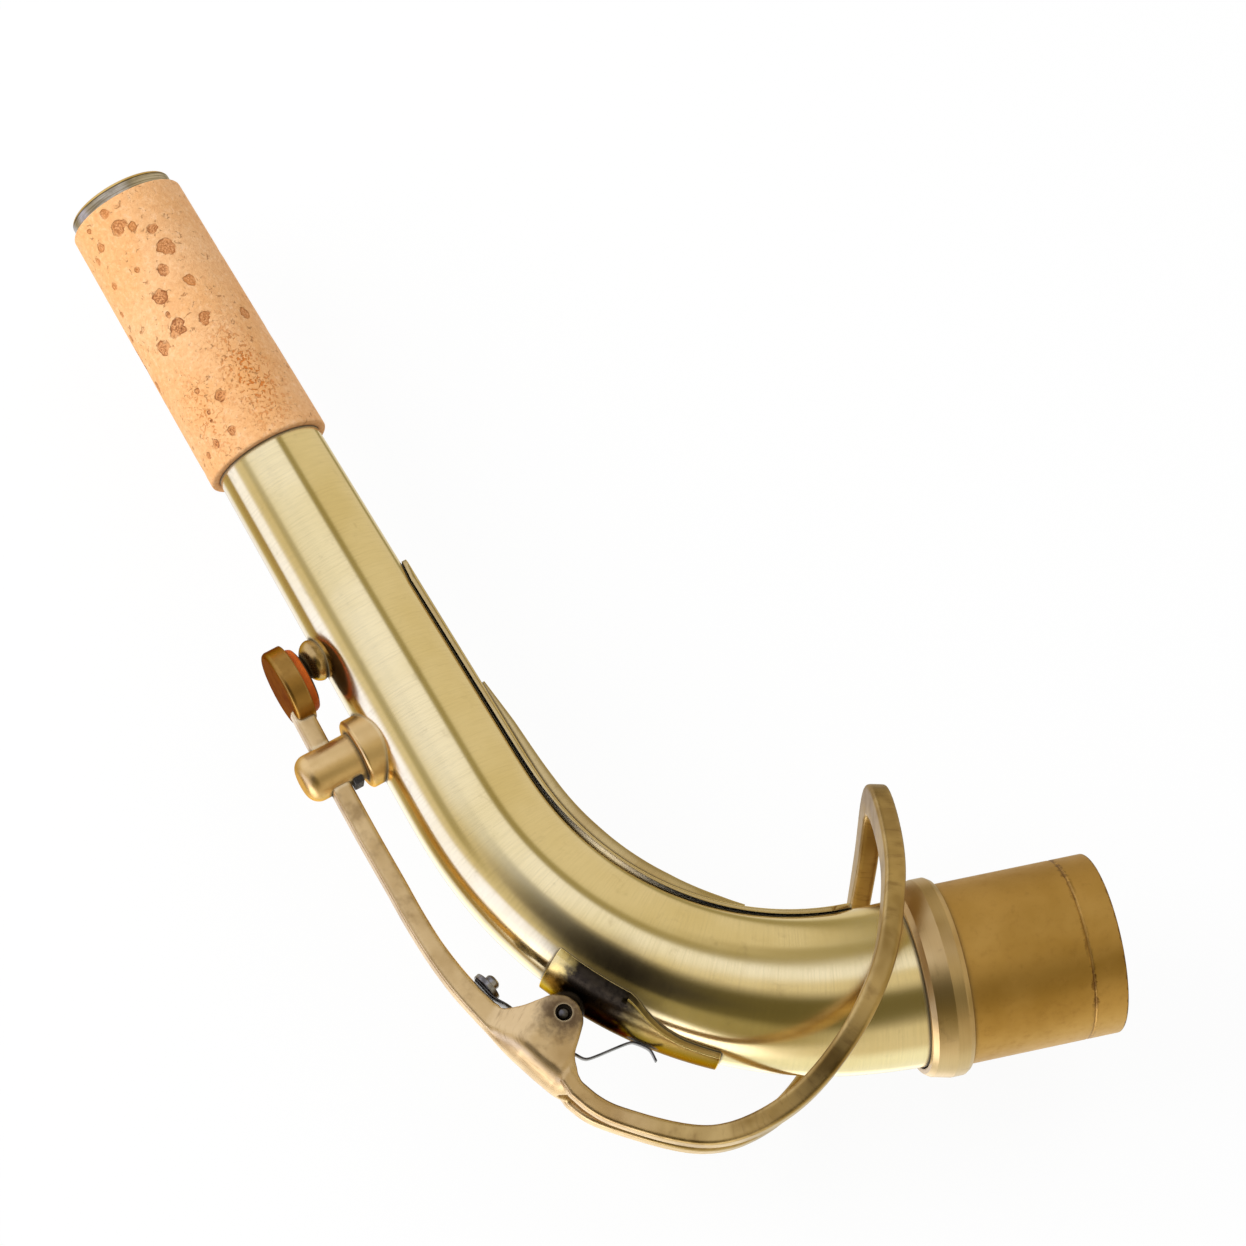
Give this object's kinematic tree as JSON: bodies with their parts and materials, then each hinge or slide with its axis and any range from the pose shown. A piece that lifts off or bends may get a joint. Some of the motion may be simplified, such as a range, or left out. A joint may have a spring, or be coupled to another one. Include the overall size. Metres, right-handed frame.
{
  "type": "saxophone neck",
  "caption": "Curved conical saxophone neck with tenon and collar, cork sleeve, under-brace, octave pip and a sprung octave key with its ring.",
  "frame": {"origin": "on the tenon's axis, in the plane of the collar's seat", "axes": "-Z along the tenon's axis into the receiver, +X towards the mouthpiece end, the bend lies in the plane Y = 0 with the octave key on its outer side"},
  "size_m": [0.1496, 0.0372, 0.1142],
  "materials": {
    "tube_brass": "brushed and lacquered, slightly worn",
    "tenon_brass": "matte, turned",
    "collar_brass": "satin lacquer",
    "patina_brass": "darkened with age",
    "key_brass": "polished, slightly bronzed",
    "cork": "raw sanded cork",
    "pad_leather": "matte, tan",
    "felt": "black felt",
    "dark_steel": "blued, dark"
  },
  "bodies": {
    "neck": {"neck_tube": "tube_brass", "tenon_sleeve": "tenon_brass", "tenon_collar": "collar_brass", "neck_cork": "cork", "tip_ring": "collar_brass", "octave_pip": "patina_brass", "guide_base": "collar_brass", "key_guide": "collar_brass", "guide_felt": "felt", "saddle_plate": "patina_brass", "hinge_post": "patina_brass", "brace_plate": "tube_brass", "brace_rib": "collar_brass"},
    "octave_key": {"key_yoke": "key_brass", "key_arm": "key_brass", "pad_cup": "key_brass", "octave_pad": "pad_leather", "octave_ring": "key_brass", "pivot_screw": "dark_steel", "leaf_spring": "dark_steel", "spring_washer": "dark_steel", "spring_screw": "dark_steel"}
  },
  "joints": [
    {"name": "octave_key_hinge", "type": "hinge", "parent": "neck", "child": "octave_key", "pos_m": [0.00476, 0, 0.05179], "axis": [0, -1, 0], "range_deg": [0, 4.5], "stiffness_Nm_per_rad": 0.15, "springref_deg": -20.05, "deforming": ["leaf_spring"]}
  ]
}
